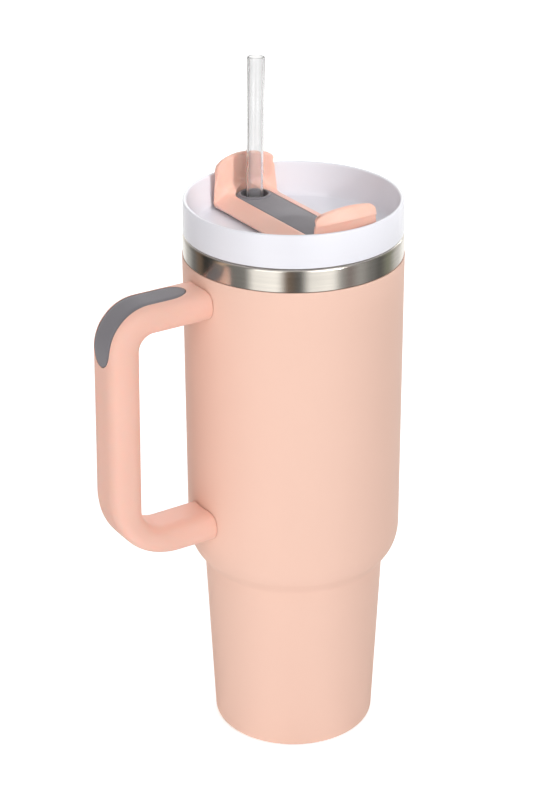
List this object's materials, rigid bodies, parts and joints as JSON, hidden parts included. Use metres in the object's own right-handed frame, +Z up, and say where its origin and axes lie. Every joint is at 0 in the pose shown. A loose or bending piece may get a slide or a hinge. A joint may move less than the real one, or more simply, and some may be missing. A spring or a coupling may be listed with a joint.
{
  "type": "insulated tumbler",
  "caption": "Insulated steel tumbler with a side handle, a milky push-in lid, a rotary cover with finger wings and a clear straw.",
  "frame": {"origin": "centre of the base plate's underside, on the tumbler's axis", "axes": "+Z up along the tumbler's axis; the handle points to -X; the rotary cover's bar lies along Y with the straw at its +Y end"},
  "size_m": [0.149, 0.099, 0.3184],
  "materials": {
    "peach_paint": "matte powder coat",
    "brushed_steel": "brushed",
    "screw_steel": "turned",
    "peach_plastic": "matte moulded",
    "grey_soft_touch": "matte soft touch",
    "milky_plastic": "translucent milky, glossy",
    "clear_silicone": "translucent silicone",
    "solder_glass": "fused glass bead",
    "getter_metal": "sintered",
    "clear_straw": "clear, glossy"
  },
  "bodies": {
    "tumbler": {"outer_shell": "peach_paint", "inner_liner": "brushed_steel", "base_plate": "brushed_steel", "jacket_bottom": "brushed_steel", "vacuum_seal_bead": "solder_glass", "getter_capsule": "getter_metal", "handle_body": "peach_plastic", "handle_grip_inlay": "grey_soft_touch", "upper_bracket": "brushed_steel", "lower_bracket": "brushed_steel", "upper_bracket_screw": "screw_steel", "lower_bracket_screw": "screw_steel"},
    "seal_ring": {"lid_seal": "clear_silicone"},
    "lid": {"lid_body": "milky_plastic"},
    "cover": {"rotary_cover": "peach_plastic", "cover_inlay": "grey_soft_touch", "cover_seal_pad": "clear_silicone", "straw_grommet": "grey_soft_touch", "pivot_washer": "screw_steel", "pivot_screw": "screw_steel"},
    "drinking_straw": {"straw": "clear_straw"}
  },
  "joints": [
    {"name": "lid_lift", "type": "slide", "parent": "tumbler", "child": "seal_ring", "axis": [0, 0, 1], "range_m": [0, 0.26]},
    {"name": "lid_turn", "type": "hinge", "parent": "seal_ring", "child": "lid", "pos_m": [0, 0, 0.25], "axis": [0, 0, 1], "continuous": true},
    {"name": "cover_turn", "type": "hinge", "parent": "lid", "child": "cover", "pos_m": [0, 0, 0.25], "axis": [0, 0, 1], "range_deg": [-19, 19]},
    {"name": "straw_pull", "type": "slide", "parent": "cover", "child": "drinking_straw", "axis": [0.0387, 0.0286, 0.9988], "range_m": [0, 0.3]}
  ]
}
